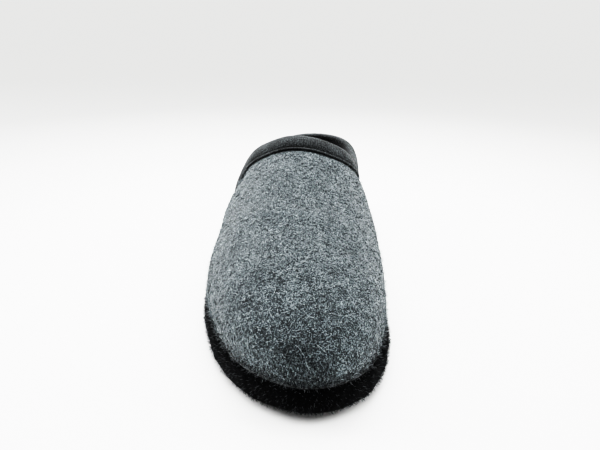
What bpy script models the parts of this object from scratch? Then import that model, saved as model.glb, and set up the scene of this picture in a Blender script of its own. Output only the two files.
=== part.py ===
"""Right-foot wool slipper: a felt outsole, a hollow felt upper, an insole and a collar binding.

Metres, +Z up. The toe points to -Y, the heel to +Y, and the big toe side is +X. The slipper stands
on its sole, and the origin is on the floor in the middle of its box.
"""

import math

import bmesh
import bpy
import numpy as np

for leftover in list(bpy.data.objects):
    bpy.data.objects.remove(leftover, do_unlink=True)

# Driving sizes, in metres
LENGTH = 0.275
BALL_WIDTH = 0.098
INSTEP_HEIGHT = 0.0845
SOLE_THICKNESS = 0.012
TOE_SPRING = 0.0048
ARCH_RISE = 0.0012
FELT_WALL = 0.003
INSOLE_THICKNESS = 0.004
SEAT_GAP = 0.0003

# The felt stands this far inside the edge of the sole, where the two are glued
FEATHER_INSET = 0.0025

# The sections round the foot, from the toe along the big toe side to the heel and back along the
# little toe side. Each is a curve in the felt from the feather line on the sole up to the collar.
#   sole_along, collar_along    distance from the toe, as a share of LENGTH
#   sole_across, collar_across  distance from the middle line, as a share of BALL_WIDTH
#   collar_height               above the floor, as a share of INSTEP_HEIGHT
#   wall_rise, wall_lean        reach of the curve at the sole, up and outwards, shares of
#                               INSTEP_HEIGHT and BALL_WIDTH
#   crown_reach, crown_slope    reach of the curve at the collar, as a share of the straight line
#                               from sole to collar, and its fall in degrees
SECTION_COLUMNS = (
    "sole_along", "sole_across", "collar_along", "collar_across", "collar_height",
    "wall_rise", "wall_lean", "crown_reach", "crown_slope",
)
SECTIONS = {
    "toe tip":             (0.000, 0.085, 0.558, -0.025, 0.994, 0.40, 0.060, 0.57, 24),
    "big toe":             (0.030, 0.304, 0.559, 0.070, 0.978, 0.40, 0.055, 0.56, 25),
    "big toe corner":      (0.110, 0.440, 0.564, 0.158, 0.940, 0.39, 0.045, 0.50, 30),
    "inner ball":          (0.255, 0.493, 0.576, 0.237, 0.880, 0.30, 0.018, 0.44, 40),
    "inner forefoot":      (0.429, 0.438, 0.598, 0.278, 0.792, 0.255, -0.008, 0.345, 59),
    "inner waist":         (0.564, 0.375, 0.648, 0.297, 0.690, 0.14, 0.020, 0.33, 78),
    "inner quarter":       (0.709, 0.350, 0.720, 0.320, 0.600, 0.14, 0.025, 0.33, 84),
    "inner heel":          (0.873, 0.327, 0.873, 0.308, 0.636, 0.16, 0.030, 0.33, 83),
    "inner heel corner":   (0.962, 0.207, 0.950, 0.206, 0.690, 0.18, 0.040, 0.33, 81),
    "heel tip":            (1.000, 0.000, 0.978, 0.000, 0.700, 0.19, 0.040, 0.33, 80),
    "outer heel corner":   (0.962, -0.205, 0.950, -0.200, 0.680, 0.18, 0.040, 0.33, 81),
    "outer heel":          (0.873, -0.332, 0.873, -0.314, 0.618, 0.16, 0.030, 0.33, 83),
    "outer quarter":       (0.709, -0.412, 0.720, -0.410, 0.540, 0.14, 0.025, 0.33, 84),
    "outer waist":         (0.564, -0.478, 0.618, -0.434, 0.572, 0.17, 0.020, 0.33, 76),
    "outer forefoot":      (0.429, -0.529, 0.588, -0.366, 0.762, 0.22, -0.030, 0.35, 57),
    "outer ball":          (0.309, -0.500, 0.574, -0.290, 0.885, 0.28, 0.044, 0.42, 41),
    "little toe":          (0.176, -0.391, 0.564, -0.205, 0.945, 0.36, 0.075, 0.50, 30),
    "little toe corner":   (0.056, -0.192, 0.559, -0.115, 0.985, 0.40, 0.060, 0.56, 25),
}
STEPS_BETWEEN_SECTIONS = 4
FELT_ROWS = 14

# The side of the sole from the floor up: inset from its outline, and height as a share of its
# thickness. The felt is pressed, so both edges are rounded.
SOLE_SIDE = (
    (0.0034, 0.00), (0.0012, 0.07), (0.0002, 0.26), (0.0, 0.52),
    (0.0003, 0.78), (0.0010, 0.94), (0.0020, 1.00),
)
INSOLE_SIDE = ((0.0008, 0.00), (0.0003, 0.30), (0.0007, 0.70), (0.0018, 1.00))

# Where the underside bends, as distances from the toe: it is flat under the ball and under the heel
SPRING_END = 0.072
ARCH_START = 0.108
ARCH_END = 0.192
SPRING_STRIPS = 6
ARCH_STRIPS = 6

# The binding seen in section. Its outer face is padded near the edge, dips where it is stitched and
# ends in a thin lip. Each row is a distance below the felt's edge and a thickness of tape.
BINDING_OUTSIDE = (
    (0.0119, 0.0003), (0.0115, 0.0011), (0.0105, 0.0013), (0.0095, 0.0005),
    (0.0084, 0.0012), (0.0066, 0.0020), (0.0034, 0.0023), (0.0, 0.0020),
)
BINDING_INSIDE = ((0.0, 0.0013), (0.0040, 0.0011), (0.0090, 0.0005))
BINDING_BACK = (0.0119, 0.0082, 0.0040, 0.0)
BINDING_LINING = (0.0090, 0.0040, 0.0)
BINDING_CREST = 0.0020
CREST_STEPS = 4
CURVE_SAMPLES = 200

CUT_TOLERANCE = 0.000001
SHARP_EDGE = math.radians(50)

COLOURS = {
    "outsole": ((0.008, 0.008, 0.009), 0.95),
    "upper": ((0.115, 0.125, 0.130), 0.90),
    "insole": ((0.030, 0.031, 0.033), 0.92),
    "collar_binding": ((0.035, 0.037, 0.038), 0.85),
}


def closed_curve(values, steps):
    """A smooth closed curve through the values, with steps points for each of them."""
    count = len(values)
    same = np.eye(count)
    system = 4 * same + np.roll(same, 1, axis=1) + np.roll(same, -1, axis=1)
    ahead = np.roll(values, -1)
    slopes = np.linalg.solve(system, 3 * (ahead - np.roll(values, 1)))
    slopes_ahead = np.roll(slopes, -1)
    points = np.empty((count, steps))
    for step in range(steps):
        t = step / steps
        points[:, step] = (
            values * (2 * t**3 - 3 * t**2 + 1) + ahead * (3 * t**2 - 2 * t**3)
            + slopes * (t**3 - 2 * t**2 + t) + slopes_ahead * (t**3 - t**2)
        )
    return points.ravel()


def section_column(name):
    """One column of the section table, run smoothly round the foot."""
    index = SECTION_COLUMNS.index(name)
    values = np.array([row[index] for row in SECTIONS.values()], dtype=float)
    return closed_curve(values, STEPS_BETWEEN_SECTIONS)


def plan_loop(along, across):
    """A loop in plan: X to the big toe side, Y from the toe to the heel, Z left at nought."""
    return np.stack([across * BALL_WIDTH, along * LENGTH, np.zeros_like(along)], axis=1)


def outward(loop):
    """The level direction out of a loop in plan, at each of its points."""
    run = np.roll(loop, -1, axis=0) - np.roll(loop, 1, axis=0)
    side = np.stack([run[:, 1], -run[:, 0], np.zeros(len(loop))], axis=1)
    return side / np.linalg.norm(side, axis=1, keepdims=True)


SOLE_OUTLINE = plan_loop(section_column("sole_along"), section_column("sole_across"))
SOLE_OUTWARD = outward(SOLE_OUTLINE)
TOE_Y = SOLE_OUTLINE[:, 1].min()
HEEL_Y = SOLE_OUTLINE[:, 1].max()


def bend_stations():
    """Where the underside bends, from toe to heel, with its height there."""
    spring = np.linspace(TOE_Y, TOE_Y + SPRING_END, SPRING_STRIPS + 1)
    spring_rise = TOE_SPRING * ((spring[-1] - spring) / SPRING_END) ** 2
    arch = np.linspace(TOE_Y + ARCH_START, TOE_Y + ARCH_END, ARCH_STRIPS + 1)
    arch_rise = ARCH_RISE * np.sin(np.linspace(0, math.pi, ARCH_STRIPS + 1)) ** 2
    return np.concatenate([spring, arch]), np.concatenate([spring_rise, arch_rise])


STATION_Y, STATION_RISE = bend_stations()


def underside(y):
    """Height of the sole's underside above the floor."""
    return np.interp(y, STATION_Y, STATION_RISE)


def felt_controls():
    """The four control points of the felt's curve in each section."""
    up = np.array([0.0, 0.0, 1.0])
    foot = SOLE_OUTLINE - SOLE_OUTWARD * FEATHER_INSET
    foot[:, 2] = underside(foot[:, 1]) + SOLE_THICKNESS + SEAT_GAP
    collar = plan_loop(section_column("collar_along"), section_column("collar_across"))
    collar_outward = outward(collar)
    collar[:, 2] = section_column("collar_height") * INSTEP_HEIGHT
    rise = section_column("wall_rise")[:, None] * INSTEP_HEIGHT
    lean = section_column("wall_lean")[:, None] * BALL_WIDTH
    reach = section_column("crown_reach")[:, None] * np.linalg.norm(collar - foot, axis=1, keepdims=True)
    slope = np.radians(section_column("crown_slope"))[:, None]
    shoulder = foot + up * rise + SOLE_OUTWARD * lean
    crown = collar + reach * (np.cos(slope) * collar_outward - np.sin(slope) * up)
    return np.stack([foot, shoulder, crown, collar], axis=1)


CONTROLS = felt_controls()


def felt_points(controls, share):
    """Points on the felt's outer face, at a share of the way from the sole to the collar."""
    t = np.broadcast_to(share, (len(controls),))[:, None]
    s = 1 - t
    return (
        controls[:, 0] * s**3 + controls[:, 1] * 3 * s**2 * t
        + controls[:, 2] * 3 * s * t**2 + controls[:, 3] * t**3
    )


def felt_rising(share):
    """The direction up the felt, from the sole to the collar."""
    t = np.broadcast_to(share, (len(CONTROLS),))[:, None]
    s = 1 - t
    steps = np.diff(CONTROLS, axis=1)
    rising = steps[:, 0] * s**2 + steps[:, 1] * 2 * s * t + steps[:, 2] * t**2
    return rising / np.linalg.norm(rising, axis=1, keepdims=True)


def felt_normals(share):
    """The direction out of the felt."""
    ahead = felt_points(np.roll(CONTROLS, -1, axis=0), share)
    behind = felt_points(np.roll(CONTROLS, 1, axis=0), share)
    normals = np.cross(ahead - behind, felt_rising(share))
    return normals / np.linalg.norm(normals, axis=1, keepdims=True)


def felt_ring(share, depth):
    """A ring round the felt, a depth inside its outer face (below nought is outside)."""
    return felt_points(CONTROLS, share) - felt_normals(share) * depth


def share_below_collar(distance):
    """The share of the way up at which a ring runs a distance below the felt's edge."""
    shares = np.linspace(1, 0, CURVE_SAMPLES)
    curve = np.stack([felt_points(CONTROLS, share) for share in shares], axis=1)
    steps = np.linalg.norm(np.diff(curve, axis=1), axis=2)
    runs = np.pad(steps.cumsum(axis=1), ((0, 0), (1, 0)))
    return np.array([np.interp(distance, run, shares) for run in runs])


def skin(mesh, rings, closed):
    """Quads from each ring to the next, and from the last back to the first if closed."""
    loops = [[mesh.verts.new(point) for point in ring] for ring in rings]
    pairs = list(zip(loops, loops[1:]))
    if closed:
        pairs.append((loops[-1], loops[0]))
    for lower, upper in pairs:
        for i, vertex in enumerate(lower):
            after = (i + 1) % len(lower)
            mesh.faces.new((vertex, lower[after], upper[after], upper[i]))
    return loops


def finish(name, mesh):
    """Make an object of a closed mesh, with its own material, in the slipper's frame."""
    bmesh.ops.recalc_face_normals(mesh, faces=mesh.faces)
    middle = (TOE_Y + HEEL_Y) / 2
    side = (SOLE_OUTLINE[:, 0].min() + SOLE_OUTLINE[:, 0].max()) / 2
    bmesh.ops.translate(mesh, verts=mesh.verts, vec=(-side, -middle, 0.0))
    data = bpy.data.meshes.new(name)
    mesh.to_mesh(data)
    mesh.free()
    data.shade_smooth()
    data.set_sharp_from_angle(angle=SHARP_EDGE)
    colour, roughness = COLOURS[name]
    material = bpy.data.materials.new(name)
    material.use_nodes = True
    shader = material.node_tree.nodes["Principled BSDF"]
    shader.inputs["Base Color"].default_value = (*colour, 1.0)
    shader.inputs["Roughness"].default_value = roughness
    shader.inputs["Metallic"].default_value = 0.0
    data.materials.append(material)
    thing = bpy.data.objects.new(name, data)
    bpy.context.scene.collection.objects.link(thing)
    thing.parent = bpy.data.objects["slipper"]


def slab(name, inset, base, thickness, side_rows):
    """A flat piece cut to the sole's outline, bent to the sole's toe spring and arch."""
    mesh = bmesh.new()
    rings = []
    for side_inset, share in side_rows:
        ring = SOLE_OUTLINE - SOLE_OUTWARD * (inset + side_inset)
        ring[:, 2] = share * thickness
        rings.append(ring)
    loops = skin(mesh, rings, closed=False)
    mesh.faces.new(loops[0])
    mesh.faces.new(loops[-1])
    for y in STATION_Y[1:]:
        faces = [face for face in mesh.faces if len(face.verts) > 4]
        edges = {edge for face in faces for edge in face.edges}
        corners = {vertex for face in faces for vertex in face.verts}
        bmesh.ops.bisect_plane(
            mesh, geom=[*corners, *edges, *faces], dist=CUT_TOLERANCE, plane_co=(0, y, 0), plane_no=(0, 1, 0))
    for vertex in mesh.verts:
        vertex.co.z += base + underside(vertex.co.y)
    finish(name, mesh)


def make_outsole():
    slab("outsole", 0.0, 0.0, SOLE_THICKNESS, SOLE_SIDE)


def make_insole():
    inset = FEATHER_INSET + FELT_WALL + SEAT_GAP
    slab("insole", inset, SOLE_THICKNESS + SEAT_GAP, INSOLE_THICKNESS, INSOLE_SIDE)


def make_upper():
    """The felt shell: up its outer face, over the collar's edge and down its inner face."""
    shares = np.linspace(0, 1, FELT_ROWS + 1)
    outer = [felt_ring(share, 0.0) for share in shares]
    inner = [felt_ring(share, FELT_WALL) for share in shares[::-1]]
    inner[-1][:, 2] = outer[0][:, 2]
    mesh = bmesh.new()
    skin(mesh, outer + inner, closed=True)
    finish("upper", mesh)


def make_collar_binding():
    """The tape round the collar: down the outside, over the crest and down the inside."""
    rings = []
    for distance, tape in BINDING_OUTSIDE:
        rings.append(felt_ring(share_below_collar(distance), -SEAT_GAP - tape))
    normals = felt_normals(1.0)
    rising = felt_rising(1.0)
    middle = felt_ring(1.0, FELT_WALL / 2)
    half_outside = FELT_WALL / 2 + SEAT_GAP + BINDING_OUTSIDE[-1][1]
    half_inside = FELT_WALL / 2 + SEAT_GAP + BINDING_INSIDE[0][1]
    for step in range(1, CREST_STEPS):
        turn = math.pi * step / CREST_STEPS
        half = half_outside if turn < math.pi / 2 else half_inside
        rings.append(middle + normals * half * math.cos(turn) + rising * BINDING_CREST * math.sin(turn))
    for distance, tape in BINDING_INSIDE:
        rings.append(felt_ring(share_below_collar(distance), FELT_WALL + SEAT_GAP + tape))
    for distance in BINDING_LINING:
        rings.append(felt_ring(share_below_collar(distance), FELT_WALL + SEAT_GAP))
    rings.append(felt_ring(1.0, FELT_WALL + SEAT_GAP) + rising * SEAT_GAP)
    rings.append(felt_ring(1.0, -SEAT_GAP) + rising * SEAT_GAP)
    for distance in BINDING_BACK[::-1]:
        rings.append(felt_ring(share_below_collar(distance), -SEAT_GAP))
    mesh = bmesh.new()
    skin(mesh, rings, closed=True)
    finish("collar_binding", mesh)


bpy.context.scene.collection.objects.link(bpy.data.objects.new("slipper", None))
make_outsole()
make_upper()
make_insole()
make_collar_binding()
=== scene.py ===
"""The looks of a right-foot wool slipper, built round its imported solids.

Metres and degrees, +Z up. The toe points to -Y, the heel to +Y, and the big toe side is +X. Tones are
linear colours from dark to pale, and their stops are where a pattern reaches them.
"""

import math

import bmesh
import bpy
import numpy as np
from mathutils import Matrix, Vector, noise
from mathutils.bvhtree import BVHTree


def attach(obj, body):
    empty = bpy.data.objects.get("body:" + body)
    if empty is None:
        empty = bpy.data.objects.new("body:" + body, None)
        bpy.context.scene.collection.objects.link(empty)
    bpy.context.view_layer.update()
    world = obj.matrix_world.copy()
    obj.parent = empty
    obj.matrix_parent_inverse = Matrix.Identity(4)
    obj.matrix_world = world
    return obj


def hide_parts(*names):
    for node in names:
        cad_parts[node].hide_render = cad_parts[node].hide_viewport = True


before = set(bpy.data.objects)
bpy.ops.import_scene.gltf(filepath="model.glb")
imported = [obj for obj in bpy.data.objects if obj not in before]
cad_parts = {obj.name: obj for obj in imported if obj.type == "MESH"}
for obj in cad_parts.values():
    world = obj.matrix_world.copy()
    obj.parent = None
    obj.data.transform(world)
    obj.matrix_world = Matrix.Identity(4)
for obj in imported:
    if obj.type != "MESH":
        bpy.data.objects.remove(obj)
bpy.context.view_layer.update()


# Outsole: one slab of thick black felt, cut to the outline of the last and glued under the upper.
# Its cut edge is soft and uneven, and short curly fibres stand out of it all ways.
SOLE_VOXEL = 0.0012
SOLE_SMOOTHING = 6
SMOOTHING_SHARE = 0.5
WELD_DISTANCE = 0.00001
SOLE_WAVES = ((0.011, 0.00035), (0.0035, 0.00045))
SOLE_FIBRES = 25000
SOLE_FIBRE_LENGTH = (0.0010, 0.0021)
SOLE_FIBRE_LEAN = (0, 75)
ALL_WAYS = 180
BRISTLE_PATH = ((-0.08, 0.0, -0.03), (0.45, 0.16, 0.05), (1.0, -0.06, 0.10))
BRISTLE_RADIUS = 0.060
FIBRE_SEEDS = {
    "outsole_pile": 3, "outsole_seam_pile": 7, "upper_nap": 11, "upper_top_nap": 17,
    "upper_long_nap": 23, "upper_hairs": 37, "upper_stray_hairs": 53, "collar_binding_fluff": 41,
}
SOLE_PILE_START = 0.0030
SOLE_PILE_LIMIT = 0.0001
SOLE_PILE_BLEND = 0.0008
SOLE_FLAT_NORMAL = 0.9
SOLE_EDGE_BLEND = 0.4
FELT_GRAIN = 900.0
RELIEF_DEPTH = 0.0005
SPECKLE_SHARE = 0.65
SPECKLE_ROUGHNESS = 0.75
STREAK_SHARE = 0.20
STREAK_FINENESS = 1.6
STREAK_STRETCH = 0.16
STREAK_TURNS = ((90, 0, 20), (70, 40, 100), (20, 80, 60))
PATCH_GRAIN = 110.0
FELT_ROUGHNESS = 0.92
FIBRE_ROUGHNESS = 0.75
SHEEN_ROUGHNESS = 0.5
CLOTH_GLOSS = 0.25
BLACK_FELT = ((0.0014, 0.0015, 0.0018), (0.0040, 0.0043, 0.0049), (0.016, 0.017, 0.019))
BLACK_STOPS = (0.36, 0.50, 0.66)
BLACK_FIBRE = ((0.0010, 0.0011, 0.0014), (0.0130, 0.0142, 0.0160), (0.30, 0.318, 0.33))
BLACK_FIBRE_STOPS = (0.0, 0.60, 1.0)
BLACK_MOTTLE = 0.20
BLACK_BUMP = 0.8
BLACK_SHEEN = 0.02
BLACK_GLOSS = 0.13


def node(tree, kind, sockets, **settings):
    """Add a node, and give its named sockets a value or a link."""
    made = tree.nodes.new(kind)
    for key, value in settings.items():
        setattr(made, key, value)
    for name, value in sockets.items():
        if isinstance(value, bpy.types.NodeSocket):
            tree.links.new(value, made.inputs[name])
        else:
            made.inputs[name].default_value = value
    return made


def ramp(tree, factor, tones, stops):
    """A colour ramp through the tones, at these stops."""
    made = node(tree, "ShaderNodeValToRGB", {"Fac": factor})
    elements = made.color_ramp.elements
    while len(elements) < len(tones):
        elements.new(0.5)
    for element, tone, stop in zip(elements, tones, stops):
        element.position = stop
        element.color = (*tone, 1.0)
    return made.outputs["Color"]


def blank_material(name, roughness, sheen, gloss=CLOTH_GLOSS):
    """A cloth material with no colour yet: its tree and its Principled shader."""
    material = bpy.data.materials.new(name)
    material.use_nodes = True
    shader = material.node_tree.nodes["Principled BSDF"]
    shader.inputs["Roughness"].default_value = roughness
    shader.inputs["Specular IOR Level"].default_value = gloss
    shader.inputs["Sheen Weight"].default_value = sheen
    shader.inputs["Sheen Roughness"].default_value = SHEEN_ROUGHNESS
    return material, material.node_tree, shader


def streaks(tree, place, turn, grain):
    """Noise drawn out along one direction, as loose fibres lie in felt."""
    turned = node(tree, "ShaderNodeMapping", {
        "Vector": place,
        "Rotation": tuple(math.radians(angle) for angle in turn),
        "Scale": (1.0, 1.0, STREAK_STRETCH),
    })
    return node(tree, "ShaderNodeTexNoise", {
        "Vector": turned.outputs["Vector"], "Scale": grain, "Detail": 1.0,
    }).outputs["Fac"]


def mixed(tree, parts):
    """The weighted sum of several patterns."""
    total = None
    for pattern, weight in parts:
        scaled = node(tree, "ShaderNodeMath", {0: pattern, 1: weight}, operation="MULTIPLY").outputs[0]
        if total is not None:
            scaled = node(tree, "ShaderNodeMath", {0: total, 1: scaled}, operation="ADD").outputs[0]
        total = scaled
    return total


def felt_pattern(tree, grain, mottle):
    """Heathered felt: fine speckle, short streaks three ways, and broad soft patches."""
    place = node(tree, "ShaderNodeTexCoord", {}).outputs["Object"]
    speckle = node(tree, "ShaderNodeTexNoise", {
        "Vector": place, "Scale": grain, "Detail": 3.0, "Roughness": SPECKLE_ROUGHNESS,
    }).outputs["Fac"]
    patches = node(tree, "ShaderNodeTexNoise", {
        "Vector": place, "Scale": PATCH_GRAIN, "Detail": 2.0,
    }).outputs["Fac"]
    parts = [(speckle, SPECKLE_SHARE), (patches, mottle)]
    for turn in STREAK_TURNS:
        parts.append((streaks(tree, place, turn, grain * STREAK_FINENESS), STREAK_SHARE))
    total = sum(weight for pattern, weight in parts)
    return mixed(tree, [(pattern, weight / total) for pattern, weight in parts])


def add_relief(tree, shader, pattern, bump):
    """Raise a pattern out of the surface."""
    relief = node(tree, "ShaderNodeBump", {"Strength": bump, "Distance": RELIEF_DEPTH, "Height": pattern})
    tree.links.new(relief.outputs["Normal"], shader.inputs["Normal"])


def felt_material(name, tones, stops, grain, mottle, bump, sheen, gloss=CLOTH_GLOSS):
    """Felt coloured from dark to pale by its own pattern, which also gives its relief."""
    material, tree, shader = blank_material(name, FELT_ROUGHNESS, sheen, gloss)
    pattern = felt_pattern(tree, grain, mottle)
    tree.links.new(ramp(tree, pattern, tones, stops), shader.inputs["Base Color"])
    add_relief(tree, shader, pattern, bump)
    return material


def fibre_material(name, tones, stops, sheen, gloss=CLOTH_GLOSS):
    """Loose fibres, each of one tone, which the fibre carries as an attribute."""
    material, tree, shader = blank_material(name, FIBRE_ROUGHNESS, sheen, gloss)
    tone = node(tree, "ShaderNodeAttribute", {}, attribute_name="tone").outputs["Fac"]
    tree.links.new(ramp(tree, tone, tones, stops), shader.inputs["Base Color"])
    return material


def spindle(name, path, radius, sides=3):
    """A closed fibre or thread of unit length along a path, with a point at each end."""
    mesh = bmesh.new()
    rings = []
    for x, y, z in path[1:-1]:
        ring = []
        for corner in range(sides):
            turn = math.tau * corner / sides
            ring.append(mesh.verts.new((x, y + radius * math.cos(turn), z + radius * math.sin(turn))))
        rings.append(ring)
    root = mesh.verts.new(path[0])
    tip = mesh.verts.new(path[-1])
    for corner in range(sides):
        after = (corner + 1) % sides
        mesh.faces.new((root, rings[0][after], rings[0][corner]))
        mesh.faces.new((tip, rings[-1][corner], rings[-1][after]))
        for lower, upper in zip(rings, rings[1:]):
            mesh.faces.new((lower[corner], lower[after], upper[after], upper[corner]))
    bmesh.ops.recalc_face_normals(mesh, faces=mesh.faces)
    return made_object(name, mesh)


def made_object(name, mesh):
    """An object of a bmesh, shaded smooth, with its place in its mesh."""
    data = bpy.data.meshes.new(name)
    mesh.to_mesh(data)
    mesh.free()
    data.shade_smooth()
    thing = bpy.data.objects.new(name, data)
    bpy.context.scene.collection.objects.link(thing)
    return thing


PILE_INPUTS = {
    "Geometry": "NodeSocketGeometry", "Fibre": "NodeSocketObject", "Density": "NodeSocketFloat",
    "Shortest": "NodeSocketFloat", "Longest": "NodeSocketFloat", "Least Lean": "NodeSocketFloat",
    "Most Lean": "NodeSocketFloat", "Stray": "NodeSocketFloat", "Seed": "NodeSocketInt",
    "Material": "NodeSocketMaterial",
}


def open_tree(name, inputs):
    """A geometry tree with named inputs and one geometry output: the tree and its inputs."""
    tree = bpy.data.node_groups.new(name, "GeometryNodeTree")
    tree.is_modifier = True
    for label, kind in inputs.items():
        tree.interface.new_socket(name=label, in_out="INPUT", socket_type=kind)
    tree.interface.new_socket(name="Geometry", in_out="OUTPUT", socket_type="NodeSocketGeometry")
    return tree, tree.nodes.new("NodeGroupInput").outputs


def close_tree(tree, instances, material):
    """End a geometry tree: its instances made real, and dressed in a material."""
    solid = node(tree, "GeometryNodeRealizeInstances", {"Geometry": instances})
    dressed = node(tree, "GeometryNodeSetMaterial", {
        "Geometry": solid.outputs["Geometry"], "Material": material,
    })
    node(tree, "NodeGroupOutput", {"Geometry": dressed.outputs["Geometry"]})
    return tree


def make_pile_tree():
    """Fibres scattered over a surface where its pile attribute lets them, raised and turned at random."""
    tree, given = open_tree("felt_pile", PILE_INPUTS)
    allowed = node(tree, "GeometryNodeInputNamedAttribute", {"Name": "pile"}, data_type="FLOAT")
    density = node(tree, "ShaderNodeMath", {
        0: given["Density"], 1: allowed.outputs["Attribute"],
    }, operation="MULTIPLY")
    points = node(tree, "GeometryNodeDistributePointsOnFaces", {
        "Mesh": given["Geometry"], "Density": density.outputs[0], "Seed": given["Seed"],
    })
    laid = node(tree, "FunctionNodeAlignRotationToVector", {
        "Rotation": points.outputs["Rotation"], "Vector": (0.0, 0.0, -1.0),
    }, axis="X", pivot_axis="Z")
    lean = node(tree, "FunctionNodeRandomValue", {
        "Min": given["Least Lean"], "Max": given["Most Lean"], "Seed": given["Seed"],
    }, data_type="FLOAT")
    back = node(tree, "ShaderNodeMath", {0: given["Stray"], 1: -1.0}, operation="MULTIPLY")
    shifted = node(tree, "ShaderNodeMath", {0: given["Seed"], 1: 1.0}, operation="ADD")
    stray = node(tree, "FunctionNodeRandomValue", {
        "Min": back.outputs[0], "Max": given["Stray"], "Seed": shifted.outputs[0],
    }, data_type="FLOAT")
    raised = node(tree, "ShaderNodeMath", {0: lean.outputs["Value"], 1: -1.0}, operation="MULTIPLY")
    turn = node(tree, "ShaderNodeCombineXYZ", {"Y": raised.outputs[0], "Z": stray.outputs["Value"]})
    turned = node(tree, "FunctionNodeEulerToRotation", {"Euler": turn.outputs[0]})
    rotation = node(tree, "FunctionNodeRotateRotation", {
        "Rotation": laid.outputs["Rotation"], "Rotate By": turned.outputs["Rotation"],
    }, rotation_space="LOCAL")
    shifted_again = node(tree, "ShaderNodeMath", {0: given["Seed"], 1: 2.0}, operation="ADD")
    length = node(tree, "FunctionNodeRandomValue", {
        "Min": given["Shortest"], "Max": given["Longest"], "Seed": shifted_again.outputs[0],
    }, data_type="FLOAT")
    fibre = node(tree, "GeometryNodeObjectInfo", {"Object": given["Fibre"], "As Instance": True})
    placed = node(tree, "GeometryNodeInstanceOnPoints", {
        "Points": points.outputs["Points"], "Instance": fibre.outputs["Geometry"],
        "Rotation": rotation.outputs["Rotation"], "Scale": length.outputs["Value"],
    })
    shade = node(tree, "FunctionNodeRandomValue", {"Seed": given["Seed"]}, data_type="FLOAT")
    toned = node(tree, "GeometryNodeStoreNamedAttribute", {
        "Geometry": placed.outputs["Instances"], "Name": "tone", "Value": shade.outputs["Value"],
    }, data_type="FLOAT", domain="INSTANCE")
    return close_tree(tree, toned.outputs["Geometry"], given["Material"])


PILE_TREE = make_pile_tree()


def grown(name, ground, tree, values):
    """Run a node tree on a copy of a mesh, and keep the outcome as a plain mesh."""
    worker = bpy.data.objects.new(name + "_worker", ground)
    bpy.context.scene.collection.objects.link(worker)
    modifier = worker.modifiers.new("grow", "NODES")
    modifier.node_group = tree
    for item in tree.interface.items_tree:
        if item.in_out == "INPUT" and item.name in values:
            modifier[item.identifier] = values[item.name]
    graph = bpy.context.evaluated_depsgraph_get()
    data = bpy.data.meshes.new_from_object(
        worker.evaluated_get(graph), preserve_all_data_layers=True, depsgraph=graph)
    bpy.data.objects.remove(worker)
    data.name = name
    data.shade_smooth()
    thing = bpy.data.objects.new(name, data)
    bpy.context.scene.collection.objects.link(thing)
    return thing


def lay_fibres(name, ground, fibre, count, length, lean, material):
    """About this many fibres on a surface, spread by its pile attribute and turned all ways."""
    share = np.empty(len(ground.data.vertices), dtype=np.float32)
    ground.data.attributes["pile"].data.foreach_get("value", share)
    area = sum(face.area * share[list(face.vertices)].mean() for face in ground.data.polygons)
    return grown(name, ground.data, PILE_TREE, {
        "Fibre": fibre, "Density": count / area, "Shortest": length[0], "Longest": length[1],
        "Least Lean": math.radians(lean[0]), "Most Lean": math.radians(lean[1]),
        "Stray": math.radians(ALL_WAYS), "Seed": FIBRE_SEEDS[name], "Material": material,
    })


def node_surface(name):
    """A CAD node's surface, to measure distances to it."""
    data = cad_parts[name].data
    corners = [vertex.co.copy() for vertex in data.vertices]
    return BVHTree.FromPolygons(corners, [tuple(face.vertices) for face in data.polygons])


def positions(thing):
    """The points and normals of a mesh, as two arrays."""
    points = np.empty(len(thing.data.vertices) * 3)
    normals = np.empty_like(points)
    thing.data.vertices.foreach_get("co", points)
    thing.data.vertices.foreach_get("normal", normals)
    return points.reshape(-1, 3), normals.reshape(-1, 3)


def move_points(thing, points):
    """Put the points of a mesh in new places."""
    thing.data.vertices.foreach_set("co", points.ravel())
    thing.data.update()


def set_attribute(thing, name, values):
    """Give each point of a mesh a number, under a name."""
    attribute = thing.data.attributes.get(name) or thing.data.attributes.new(name, "FLOAT", "POINT")
    attribute.data.foreach_set("value", np.asarray(values, dtype=np.float32))


def felt_waves(points, waves):
    """Uneven felt: the sum of several soft noises, each with a wavelength and a depth."""
    total = np.zeros(len(points))
    for wavelength, depth in waves:
        total += depth * np.array([noise.noise(Vector(point / wavelength)) for point in points])
    return total


def fade(values, start, width):
    """From nought before a start to one past a width."""
    return np.clip((values - start) / width, 0, 1)


def clearance(points, surface):
    """How far each point is from a surface."""
    return np.array([surface.find_nearest(Vector(point))[3] for point in points])


def merged_copy(name):
    """A bmesh of a CAD node with its loose triangles joined."""
    mesh = bmesh.new()
    mesh.from_mesh(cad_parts[name].data)
    bmesh.ops.remove_doubles(mesh, verts=mesh.verts, dist=WELD_DISTANCE)
    return mesh


def finished(thing):
    """Turn an object with modifiers into one with a plain mesh."""
    graph = bpy.context.evaluated_depsgraph_get()
    data = bpy.data.meshes.new_from_object(thing.evaluated_get(graph), depsgraph=graph)
    thing.modifiers.clear()
    thing.data = data
    data.shade_smooth()
    return thing


def soft_slab(name, node_name, voxel, smoothing):
    """A CAD slab as an even fine mesh with its edges softened."""
    thing = made_object(name, merged_copy(node_name))
    fine = thing.modifiers.new("fine", "REMESH")
    fine.mode = "VOXEL"
    fine.voxel_size = voxel
    soft = thing.modifiers.new("soft", "SMOOTH")
    soft.factor = SMOOTHING_SHARE
    soft.iterations = smoothing
    return finished(thing)


upper_surface = node_surface("upper")
black_felt = felt_material(
    "black_felt", BLACK_FELT, BLACK_STOPS, FELT_GRAIN, BLACK_MOTTLE, BLACK_BUMP, BLACK_SHEEN, BLACK_GLOSS)
black_fibre = fibre_material("black_fibre", BLACK_FIBRE, BLACK_FIBRE_STOPS, BLACK_SHEEN, BLACK_GLOSS)

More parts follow.
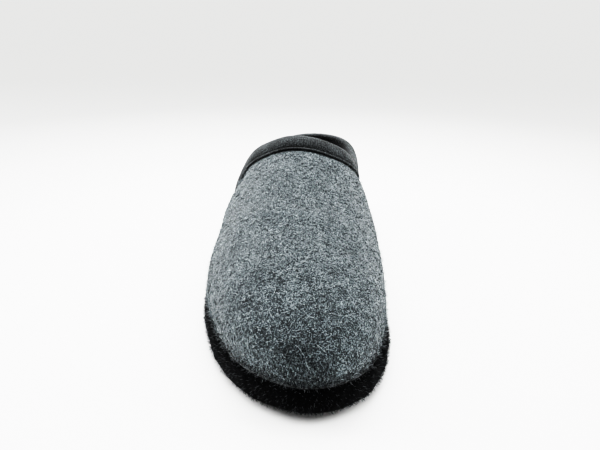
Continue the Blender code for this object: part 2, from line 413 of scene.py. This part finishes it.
outsole = soft_slab("outsole_felt", "outsole", SOLE_VOXEL, SOLE_SMOOTHING)
points, normals = positions(outsole)
flat = fade(np.abs(normals[:, 2]), SOLE_FLAT_NORMAL - SOLE_EDGE_BLEND, SOLE_EDGE_BLEND)
points += normals * (felt_waves(points, SOLE_WAVES) * (1 - flat))[:, None]
points[:, 2] = np.maximum(points[:, 2], 0.0)
move_points(outsole, points)
bare = fade(clearance(points, upper_surface), SOLE_PILE_LIMIT, SOLE_PILE_BLEND)
set_attribute(outsole, "pile", bare * fade(points[:, 2], SOLE_PILE_START, SOLE_PILE_BLEND))
outsole.data.materials.append(black_felt)
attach(outsole, "root")
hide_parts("outsole")

bristle = spindle("bristle", BRISTLE_PATH, BRISTLE_RADIUS)
sole_pile = lay_fibres(
    "outsole_pile", outsole, bristle, SOLE_FIBRES, SOLE_FIBRE_LENGTH, SOLE_FIBRE_LEAN, black_fibre)
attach(sole_pile, "root")


# Upper: one piece of heathered grey wool felt, a salt and pepper mix of dark and pale fibres,
# steamed over the last and glued to the sole. Short fibres lie all ways on it and a few stand up.
SUBDIVISIONS = 2
SHARP_TURN = math.radians(50)
PAIRING_TURN = math.radians(70)
FOOT_AXIS_HEIGHT = 0.028
FOOT_AXIS_ENDS = (-0.095, 0.095)
WOOL_WAVES = ((0.030, 0.00030), (0.012, 0.00014), (0.0055, 0.00010))
WOOL = ((0.0105, 0.0137, 0.0158), (0.062, 0.076, 0.082), (0.39, 0.447, 0.464))
WOOL_FIBRE = ((0.0065, 0.0086, 0.0102), (0.040, 0.051, 0.057), (0.80, 0.87, 0.89))
WOOL_STOPS = (0.43, 0.50, 0.58)
WOOL_GRAIN = 1500.0
WOOL_MOTTLE = 0.09
WOOL_ROUGHNESS = 0.9
WOOL_SHEEN = 0.45
WOOL_BUMP = 0.8
WOOL_FIBRE_STOPS = (0.22, 0.62, 1.0)
FIBRE_SHEEN = 0.2
HAIR = ((0.155, 0.18, 0.192), (0.33, 0.37, 0.385), (0.61, 0.66, 0.675))
HAIR_STOPS = (0.0, 0.6, 1.0)
# The darker share of the wool, painted on as shade inside the shell and along the seam above the sole.
WOOL_PAINTED_SHADE = (0.16, 0.16, 0.165)
NAP_FIBRES = 24000
NAP_LENGTH = (0.0009, 0.0019)
NAP_LEAN = (-8, 20)
LONG_FIBRES = 10000
LONG_LENGTH = (0.0030, 0.0062)
LONG_LEAN = (-2, 4)
HAIRS = 8000
HAIR_LENGTH = (0.0010, 0.0026)
HAIR_LEAN = (20, 75)
STRAY_HAIRS = 150
STRAY_LENGTH = (0.007, 0.015)
STRAY_LEAN = (-1, 3)
SEAM_FIBRES = 7000
SEAM_FIBRE_LENGTH = (0.0010, 0.0030)
SEAM_FIBRE_LEAN = (-5, 50)
SEAM_FADE = 0.0035
SEAM_SHADE = 0.72
SEAM_NAP_LEFT = 0.2
BINDING_COVER = 0.0006
BINDING_COVER_BLEND = 0.0008
COLLAR_HOLD = (0.001, 0.006)
SOLE_HOLD = (0.013, 0.006)

# Each kind of fibre is a path of about unit length, and a radius, which grow with the fibre's length.
SHORT_FIBRE_PATH = ((-0.5, 0.0, -0.05), (0.0, 0.08, 0.05), (0.5, -0.04, -0.05))
SHORT_FIBRE_RADIUS = 0.070
LONG_FIBRE_PATH = ((-0.5, 0.0, -0.02), (-0.17, 0.06, 0.025), (0.18, 0.03, 0.025), (0.5, -0.08, -0.02))
LONG_FIBRE_RADIUS = 0.010
HAIR_PATH = ((-0.05, 0.0, -0.03), (0.32, 0.03, 0.03), (0.68, -0.03, 0.03), (1.0, 0.05, 0.13))
HAIR_RADIUS = 0.028
STRAY_PATH = (
    (-0.5, 0.0, -0.01), (-0.25, 0.09, 0.012), (0.05, 0.08, 0.014), (0.3, -0.03, 0.012), (0.5, -0.06, -0.01),
)
STRAY_RADIUS = 0.005

# Each crease is a soft trough, or a ridge if its depth is below nought, along a line through points
# on the felt: across, along and height in metres, then the half width and the depth.
CREASES = {
    "flex line behind the toes": (
        ((-0.040, -0.052, 0.036), (0.0, -0.060, 0.062), (0.042, -0.066, 0.036)), 0.009, 0.0004),
    "flex line before the instep": (
        ((-0.036, -0.030, 0.048), (0.0, -0.034, 0.068), (0.038, -0.040, 0.046)), 0.009, 0.0004),
    "swell between the flex lines": (
        ((-0.034, -0.042, 0.044), (0.0, -0.047, 0.066), (0.036, -0.053, 0.042)), 0.008, -0.0003),
    "outer swell beside the vamp": (
        ((-0.040, 0.012, 0.049), (-0.0385, -0.004, 0.0505), (-0.040, -0.012, 0.047)), 0.010, -0.0019),
    "outer pinch under the collar": (
        ((-0.042, 0.030, 0.040), (-0.043, 0.006, 0.034), (-0.046, -0.014, 0.026)), 0.006, 0.0011),
    "inner pinch under the collar": (
        ((0.032, 0.032, 0.042), (0.035, 0.010, 0.036), (0.040, -0.010, 0.028)), 0.006, 0.0009),
    "outer quarter fold": (((-0.041, 0.058, 0.034), (-0.041, 0.046, 0.020)), 0.007, 0.0007),
    "inner quarter fold": (((0.034, 0.062, 0.036), (0.034, 0.048, 0.020)), 0.007, 0.0006),
    "heel dent": (((-0.012, 0.134, 0.036), (0.012, 0.134, 0.034)), 0.009, 0.0007),
}


def smooth_cage(name, node_name):
    """A CAD shell made finer: its triangles paired, its corners kept, the rest subdivided smoothly."""
    mesh = merged_copy(node_name)
    bmesh.ops.join_triangles(
        mesh, faces=mesh.faces, angle_face_threshold=SHARP_TURN, angle_shape_threshold=PAIRING_TURN)
    crease = mesh.edges.layers.float.new("crease_edge")
    for edge in mesh.edges:
        if edge.calc_face_angle(0.0) > SHARP_TURN:
            edge[crease] = 1.0
    thing = made_object(name, mesh)
    fine = thing.modifiers.new("fine", "SUBSURF")
    fine.levels = SUBDIVISIONS
    fine.render_levels = SUBDIVISIONS
    return finished(thing)


def line_distance(points, line):
    """How far each point is from a line through several points."""
    nearest = np.full(len(points), np.inf)
    for start, end in zip(np.array(line), np.array(line)[1:]):
        run = end - start
        share = np.clip((points - start) @ run / (run @ run), 0, 1)
        nearest = np.minimum(nearest, np.linalg.norm(points - start - share[:, None] * run, axis=1))
    return nearest


def facing_out(points, normals):
    """How far each point of a shell looks away from the middle of the foot, from 1 to -1."""
    axis = np.zeros_like(points)
    axis[:, 1] = np.clip(points[:, 1], *FOOT_AXIS_ENDS)
    axis[:, 2] = FOOT_AXIS_HEIGHT
    away = points - axis
    return np.sum(normals * away, axis=1) / np.linalg.norm(away, axis=1)


def shaded(tree, colour, share):
    """The colour, and a darker share of it painted on as shade where the shade attribute is high: inside
    and along seams.
    """
    shade = node(tree, "ShaderNodeAttribute", {}, attribute_name="shade").outputs["Fac"]
    darker = node(tree, "ShaderNodeMix", {
        "Factor": 1.0, 6: colour, 7: (*share, 1.0),
    }, data_type="RGBA", blend_type="MULTIPLY")
    chosen = node(tree, "ShaderNodeMix", {
        "Factor": shade, 6: colour, 7: darker.outputs[2],
    }, data_type="RGBA")
    return chosen.outputs[2]


upper = smooth_cage("upper_wool", "upper")
points, normals = positions(upper)
inside = facing_out(points, normals) < 0
outward = np.where(inside[:, None], -normals, normals)
sink = np.zeros(len(points))
for line, half_width, depth in CREASES.values():
    sink += depth * np.exp(-(line_distance(points, line) / half_width) ** 2)
binding_surface = node_surface("collar_binding")
covered = clearance(points, binding_surface)
loose = fade(covered, *COLLAR_HOLD) * fade(points[:, 2], *SOLE_HOLD)
points += outward * ((felt_waves(points, WOOL_WAVES) - sink) * loose)[:, None]
move_points(upper, points)
above_sole = clearance(points, node_surface("outsole"))
# Painted shade: the wool is darkened all over the inside of the shell, and more and more towards the sole
# along the seam.
set_attribute(upper, "shade", np.maximum(inside, SEAM_SHADE * np.exp(-above_sole / SEAM_FADE)))

wool, tree, shader = blank_material("grey_wool", WOOL_ROUGHNESS, WOOL_SHEEN)
pattern = felt_pattern(tree, WOOL_GRAIN, WOOL_MOTTLE)
colour = ramp(tree, pattern, WOOL, WOOL_STOPS)
tree.links.new(shaded(tree, colour, WOOL_PAINTED_SHADE), shader.inputs["Base Color"])
add_relief(tree, shader, pattern, WOOL_BUMP)
upper.data.materials.append(wool)
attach(upper, "root")
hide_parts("upper")

set_attribute(upper, "pile", np.where(inside, 0.0, np.exp(-(above_sole / SEAM_FADE) ** 2)))
seam_pile = lay_fibres(
    "outsole_seam_pile", upper, bristle, SEAM_FIBRES, SEAM_FIBRE_LENGTH, SEAM_FIBRE_LEAN, black_fibre)
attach(seam_pile, "root")

uncovered = np.where(inside, 0.0, fade(covered, BINDING_COVER, BINDING_COVER_BLEND))
set_attribute(upper, "pile", uncovered * np.clip(above_sole / SEAM_FADE, SEAM_NAP_LEFT, 1))
wool_fibre = fibre_material("wool_fibre", WOOL_FIBRE, WOOL_FIBRE_STOPS, FIBRE_SHEEN)
hair = fibre_material("wool_hair", HAIR, HAIR_STOPS, FIBRE_SHEEN)
short_fibre = spindle("short_fibre", SHORT_FIBRE_PATH, SHORT_FIBRE_RADIUS)
long_fibre = spindle("long_fibre", LONG_FIBRE_PATH, LONG_FIBRE_RADIUS)
fine_hair = spindle("fine_hair", HAIR_PATH, HAIR_RADIUS)
stray_hair = spindle("stray_hair", STRAY_PATH, STRAY_RADIUS)
WOOL_PILES = {
    "upper_nap": (short_fibre, NAP_FIBRES, NAP_LENGTH, NAP_LEAN, wool_fibre),
    "upper_top_nap": (short_fibre, NAP_FIBRES, NAP_LENGTH, NAP_LEAN, wool_fibre),
    "upper_long_nap": (long_fibre, LONG_FIBRES, LONG_LENGTH, LONG_LEAN, wool_fibre),
    "upper_hairs": (fine_hair, HAIRS, HAIR_LENGTH, HAIR_LEAN, hair),
    "upper_stray_hairs": (stray_hair, STRAY_HAIRS, STRAY_LENGTH, STRAY_LEAN, hair),
}
for name, (fibre, count, length, lean, material) in WOOL_PILES.items():
    pile = lay_fibres(name, upper, fibre, count, length, lean, material)
    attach(pile, "root")


# Insole: a footbed of dark grey felt, cut a little smaller than the inside of the upper. It lies loose
# on the outsole, and its top is slightly uneven.
INSOLE_VOXEL = 0.0016
INSOLE_SMOOTHING = 4
INSOLE_TOP_NORMAL = 0.5
INSOLE_WAVES = ((0.016, 0.0003), (0.005, 0.00015))
DARK_FELT = ((0.010, 0.0105, 0.0115), (0.032, 0.034, 0.036), (0.12, 0.125, 0.13))
DARK_STOPS = (0.40, 0.50, 0.63)
DARK_MOTTLE = 0.30
DARK_BUMP = 0.7
DARK_SHEEN = 0.15

insole = soft_slab("insole_felt", "insole", INSOLE_VOXEL, INSOLE_SMOOTHING)
points, normals = positions(insole)
points += normals * felt_waves(points, INSOLE_WAVES)[:, None] * (normals[:, 2:] > INSOLE_TOP_NORMAL)
move_points(insole, points)
insole.data.materials.append(felt_material(
    "dark_felt", DARK_FELT, DARK_STOPS, FELT_GRAIN, DARK_MOTTLE, DARK_BUMP, DARK_SHEEN))
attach(insole, "root")
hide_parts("insole")


# Collar binding: a charcoal knitted tape folded over the edge of the felt all the way round, rolled
# at the top and sewn down in a groove above its thin free lip. Its fine ribs run across the tape.
TAPE = ((0.007, 0.008, 0.0086), (0.027, 0.0307, 0.0322), (0.115, 0.128, 0.133))
TAPE_FIBRE = ((0.012, 0.0135, 0.014), (0.045, 0.050, 0.052), (0.22, 0.24, 0.245))
TAPE_STOPS = (0.44, 0.50, 0.57)
TAPE_FIBRE_STOPS = (0.0, 0.7, 1.0)
TAPE_FIBRES = 10000
TAPE_FIBRE_LENGTH = (0.0007, 0.0015)
TAPE_FIBRE_LEAN = (-2, 14)
# The darker share of the tape, painted on as shade on its inner face and along the stitched groove.
TAPE_PAINTED_SHADE = (0.15, 0.15, 0.153)
TAPE_TURN = 0.75
TAPE_COVER = (0.0009, 0.0004)
TAPE_GRAIN = 1300.0
TAPE_MOTTLE = 0.15
TAPE_ROUGHNESS = 0.9
TAPE_SHEEN = 0.25
TAPE_BUMP = 0.7
RIB_WIDTH = 0.0013
RIB_SHARE = 0.10
RIB_TONES = (0.38, 0.62)
GROOVE_GAP = 0.0008
GROOVE_SPREAD = 0.00012
GROOVE_SHADE = 0.75
GROOVE_FADE = 0.0011
COLLAR_CENTRE = Vector((0.0, 0.070, 0.0))

groove = []
tape_cage = merged_copy("collar_binding")
for vertex in tape_cage.verts:
    place, facing, face, gap = upper_surface.find_nearest(vertex.co)
    if abs(gap - GROOVE_GAP) < GROOVE_SPREAD and facing.dot(place - COLLAR_CENTRE) > 0:
        groove.append(vertex.co.copy())
tape_cage.free()
groove.sort(key=lambda point: math.atan2(point.y - COLLAR_CENTRE.y, point.x - COLLAR_CENTRE.x))
groove = np.array(groove)
groove_steps = np.linalg.norm(np.roll(groove, -1, axis=0) - groove, axis=1)
groove_length = groove_steps.sum()


def along_groove(points):
    """Where each point is round the collar, as a length along the groove."""
    nearest = np.full(len(points), np.inf)
    lengths = np.zeros(len(points))
    reached = 0.0
    for start, end, step in zip(groove, np.roll(groove, -1, axis=0), groove_steps):
        share = np.clip((points - start) @ (end - start) / step ** 2, 0, 1)
        gap = np.linalg.norm(points - start - share[:, None] * (end - start), axis=1)
        closer = gap < nearest
        nearest[closer] = gap[closer]
        lengths[closer] = reached + share[closer] * step
        reached += step
    return lengths


binding = smooth_cage("collar_binding_tape", "collar_binding")
points, normals = positions(binding)
set_attribute(binding, "pile", fade(clearance(points, upper_surface), *TAPE_COVER))
groove_gap = line_distance(points, np.vstack([groove, groove[:1]]))
# Painted shade: the tape is darkened where it turns in towards the foot, and along the groove of the
# stitches.
inner_painted_shade = np.clip(TAPE_TURN - facing_out(points, normals), 0, 1)
set_attribute(binding, "shade", np.maximum(inner_painted_shade, GROOVE_SHADE * np.exp(-(groove_gap / GROOVE_FADE) ** 2)))
corners = np.empty(len(binding.data.loops), dtype=np.int32)
binding.data.loops.foreach_get("vertex_index", corners)
lengths = along_groove(points)[corners].reshape(-1, 4)
crossing = np.ptp(lengths, axis=1) > groove_length / 2
lengths[crossing] += np.where(lengths[crossing] < groove_length / 2, groove_length, 0)
tape_map = binding.data.uv_layers.new(name="tape")
tape_map.data.foreach_set("uv", np.stack([lengths.ravel(), np.zeros(lengths.size)], axis=1).ravel())

tape, tree, shader = blank_material("charcoal_tape", TAPE_ROUGHNESS, TAPE_SHEEN)
ribs_round = round(groove_length / RIB_WIDTH)
along = node(tree, "ShaderNodeSeparateXYZ", {
    "Vector": node(tree, "ShaderNodeUVMap", {}, uv_map="tape").outputs["UV"],
}).outputs["X"]
turn = node(tree, "ShaderNodeMath", {
    0: along, 1: math.tau * ribs_round / groove_length,
}, operation="MULTIPLY")
wave = node(tree, "ShaderNodeMath", {0: turn.outputs[0]}, operation="SINE")
rib = node(tree, "ShaderNodeMapRange", {
    "Value": wave.outputs[0], "From Min": -1.0, "From Max": 1.0,
    "To Min": RIB_TONES[0], "To Max": RIB_TONES[1],
}).outputs["Result"]
knit = felt_pattern(tree, TAPE_GRAIN, TAPE_MOTTLE)
pattern = mixed(tree, [(knit, 1 - RIB_SHARE), (rib, RIB_SHARE)])
colour = ramp(tree, pattern, TAPE, TAPE_STOPS)
tree.links.new(shaded(tree, colour, TAPE_PAINTED_SHADE), shader.inputs["Base Color"])
add_relief(tree, shader, pattern, TAPE_BUMP)
binding.data.materials.append(tape)
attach(binding, "root")
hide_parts("collar_binding")

tape_fibre = fibre_material("tape_fibre", TAPE_FIBRE, TAPE_FIBRE_STOPS, FIBRE_SHEEN)
fluff = lay_fibres(
    "collar_binding_fluff", binding, short_fibre, TAPE_FIBRES, TAPE_FIBRE_LENGTH, TAPE_FIBRE_LEAN,
    tape_fibre)
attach(fluff, "root")


# Collar stitches: one row of dark thread that runs round the collar in the groove of the binding and
# holds the tape to the felt.
STITCH_STEP = 0.0042
STITCH_LENGTH = 0.0034
THREAD = ((0.0030, 0.0032, 0.0036), (0.0075, 0.0080, 0.0088), (0.022, 0.023, 0.025))
THREAD_STOPS = (0.38, 0.50, 0.64)
THREAD_GRAIN = 2500.0
THREAD_MOTTLE = 0.1
THREAD_BUMP = 0.5
THREAD_SHEEN = 0.0
THREAD_PATH = (
    (-0.5, 0.0, -0.05), (-0.38, 0.0, 0.0), (0.0, 0.0, 0.05), (0.38, 0.0, 0.0), (0.5, 0.0, -0.05),
)
THREAD_RADIUS = 0.085
THREAD_SIDES = 6
STITCH_INPUTS = {
    "Geometry": "NodeSocketGeometry", "Stitch": "NodeSocketObject", "Step": "NodeSocketFloat",
    "Length": "NodeSocketFloat", "Material": "NodeSocketMaterial",
}


def make_stitch_tree():
    """Stitches set end to end along a line."""
    tree, given = open_tree("stitch_row", STITCH_INPUTS)
    line = node(tree, "GeometryNodeMeshToCurve", {"Mesh": given["Geometry"]})
    places = node(tree, "GeometryNodeCurveToPoints", {
        "Curve": line.outputs["Curve"], "Length": given["Step"],
    }, mode="LENGTH")
    along = node(tree, "FunctionNodeAlignRotationToVector", {"Vector": places.outputs["Tangent"]}, axis="X")
    thread = node(tree, "GeometryNodeObjectInfo", {"Object": given["Stitch"], "As Instance": True})
    sewn = node(tree, "GeometryNodeInstanceOnPoints", {
        "Points": places.outputs["Points"], "Instance": thread.outputs["Geometry"],
        "Rotation": along.outputs["Rotation"], "Scale": given["Length"],
    })
    return close_tree(tree, sewn.outputs["Instances"], given["Material"])


groove_line = bpy.data.meshes.new("groove_line")
groove_line.from_pydata(groove, [(i, (i + 1) % len(groove)) for i in range(len(groove))], [])
thread_shape = spindle("thread_shape", THREAD_PATH, THREAD_RADIUS, THREAD_SIDES)
thread = felt_material(
    "sewing_thread", THREAD, THREAD_STOPS, THREAD_GRAIN, THREAD_MOTTLE, THREAD_BUMP, THREAD_SHEEN)
stitches = grown("collar_stitches", groove_line, make_stitch_tree(), {
    "Stitch": thread_shape, "Step": STITCH_STEP, "Length": STITCH_LENGTH, "Material": thread,
})
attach(stitches, "root")


# Fibre patterns: the piles and stitches above are copies of these loose single shapes, which are not
# part of the slipper and are taken away.
for pattern_shape in (bristle, short_fibre, long_fibre, fine_hair, stray_hair, thread_shape):
    bpy.data.objects.remove(pattern_shape)


# Stage: a plain pale floor that fades evenly into the background, seen from a low stand before the toe.
# Large soft lamps light the slipper from above and from both sides, and a fourth lights the floor alone.
FLOOR_CLEARANCE = 0.0002
STAGE_RADIUS = 30.0
STAGE_SIDES = 64
PAPER_TONES = ((0.80, 0.80, 0.795), (0.47, 0.47, 0.467), (0.10, 0.10, 0.10), (0.0, 0.0, 0.0))
PAPER_GLOW = ((0.0, 0.0, 0.0), (0.16, 0.16, 0.158), (0.42, 0.42, 0.415), (0.48, 0.48, 0.473))
PAPER_STOPS = (0.12, 0.30, 0.58, 0.95)
PAPER_ROUGHNESS = 0.8
BACKGROUND = (0.48, 0.48, 0.473)
# Each lamp has a place, the point that it faces, a width and a power in watts.
LAMPS = {
    "top": ((0.0, 0.23, 0.47), (0.0, 0.0, 0.03), 0.45, 2.42),
    "left": ((-1.1, 0.20, 0.45), (0.0, 0.0, 0.03), 0.8, 11.0),
    "right": ((1.1, 0.20, 0.45), (0.0, 0.0, 0.03), 0.8, 7.9),
    "floor": ((0.0, -0.62, 1.10), (0.0, -0.16, 0.0), 0.75, 7.4),
}
WORLD_LIGHT = 0.245
BRIGHTEST = 2.0
ALL_COLOURS_CURVE = 3
# The picture's tones: the light at a place, and how bright it is shown.
TONE_CURVE = (
    (0.010, 0.0025), (0.030, 0.012), (0.050, 0.027), (0.076, 0.055), (0.11, 0.12), (0.163, 0.26),
    (0.25, 0.45), (0.40, 0.70), (0.60, 0.87), (0.80, 0.93), (1.0, 0.955), (1.4, 0.97),
)
PAPER_WHITE = 0.98
CAMERA_EYE = (0.0231, -0.3423, 0.1701)
CAMERA_DOWN = 21.50
CAMERA_LEFT = 3.80
CAMERA_ROLL = 0.56
SENSOR_WIDTH = 36.0
PICTURE_WIDTH = 600
NEAREST_SEEN = 0.01
FOCAL_PIXELS = 614.7

mesh = bmesh.new()
bmesh.ops.create_circle(
    mesh, cap_ends=True, radius=STAGE_RADIUS, segments=STAGE_SIDES,
    matrix=Matrix.Translation((0.0, 0.0, -FLOOR_CLEARANCE)))
stage = made_object("studio_floor", mesh)
paper, tree, shader = blank_material("pale_paper", PAPER_ROUGHNESS, 0.0)
place = node(tree, "ShaderNodeTexCoord", {}).outputs["Object"]
distance = node(tree, "ShaderNodeVectorMath", {0: place}, operation="LENGTH").outputs["Value"]
tree.links.new(ramp(tree, distance, PAPER_TONES, PAPER_STOPS), shader.inputs["Base Color"])
tree.links.new(ramp(tree, distance, PAPER_GLOW, PAPER_STOPS), shader.inputs["Emission Color"])
shader.inputs["Emission Strength"].default_value = 1.0
stage.data.materials.append(paper)

paper_only = bpy.data.collections.new("paper_only")
paper_only.objects.link(stage)
for name, (place, target, size, power) in LAMPS.items():
    lamp = bpy.data.lights.new(name + "_lamp", "AREA")
    lamp.shape = "SQUARE"
    lamp.size = size
    lamp.energy = power
    holder = bpy.data.objects.new(name + "_lamp", lamp)
    holder.location = place
    holder.visible_camera = False
    holder.rotation_euler = (Vector(target) - Vector(place)).to_track_quat("-Z", "Y").to_euler()
    bpy.context.scene.collection.objects.link(holder)
    if name == "floor":
        holder.light_linking.receiver_collection = paper_only

world = bpy.data.worlds.new("studio")
world.use_nodes = True
tree = world.node_tree
seen = node(tree, "ShaderNodeBackground", {"Color": (*BACKGROUND, 1.0)})
fill = node(tree, "ShaderNodeBackground", {"Color": (1.0, 1.0, 1.0, 1.0), "Strength": WORLD_LIGHT})
chosen = node(tree, "ShaderNodeMixShader", {
    0: node(tree, "ShaderNodeLightPath", {}).outputs["Is Camera Ray"],
    1: fill.outputs[0], 2: seen.outputs[0],
})
tree.links.new(chosen.outputs[0], tree.nodes["World Output"].inputs["Surface"])
bpy.context.scene.world = world

view = bpy.context.scene.view_settings
view.view_transform = "Standard"
view.use_curve_mapping = True
view.curve_mapping.white_level = (BRIGHTEST, BRIGHTEST, BRIGHTEST)
tone_line = view.curve_mapping.curves[ALL_COLOURS_CURVE].points
tone_line[-1].location = (1.0, PAPER_WHITE)
for light, shown in TONE_CURVE:
    tone_line.new(light / BRIGHTEST, shown)
view.curve_mapping.update()

camera = bpy.data.cameras.new("camera")
camera.sensor_width = SENSOR_WIDTH
camera.lens = SENSOR_WIDTH * FOCAL_PIXELS / PICTURE_WIDTH
camera.clip_start = NEAREST_SEEN
viewer = bpy.data.objects.new("camera", camera)
viewer.matrix_world = (
    Matrix.Translation(CAMERA_EYE)
    @ Matrix.Rotation(math.radians(CAMERA_LEFT), 4, "Z")
    @ Matrix.Rotation(math.radians(90 - CAMERA_DOWN), 4, "X")
    @ Matrix.Rotation(math.radians(CAMERA_ROLL), 4, "Z")
)
bpy.context.scene.collection.objects.link(viewer)
bpy.context.scene.camera = viewer
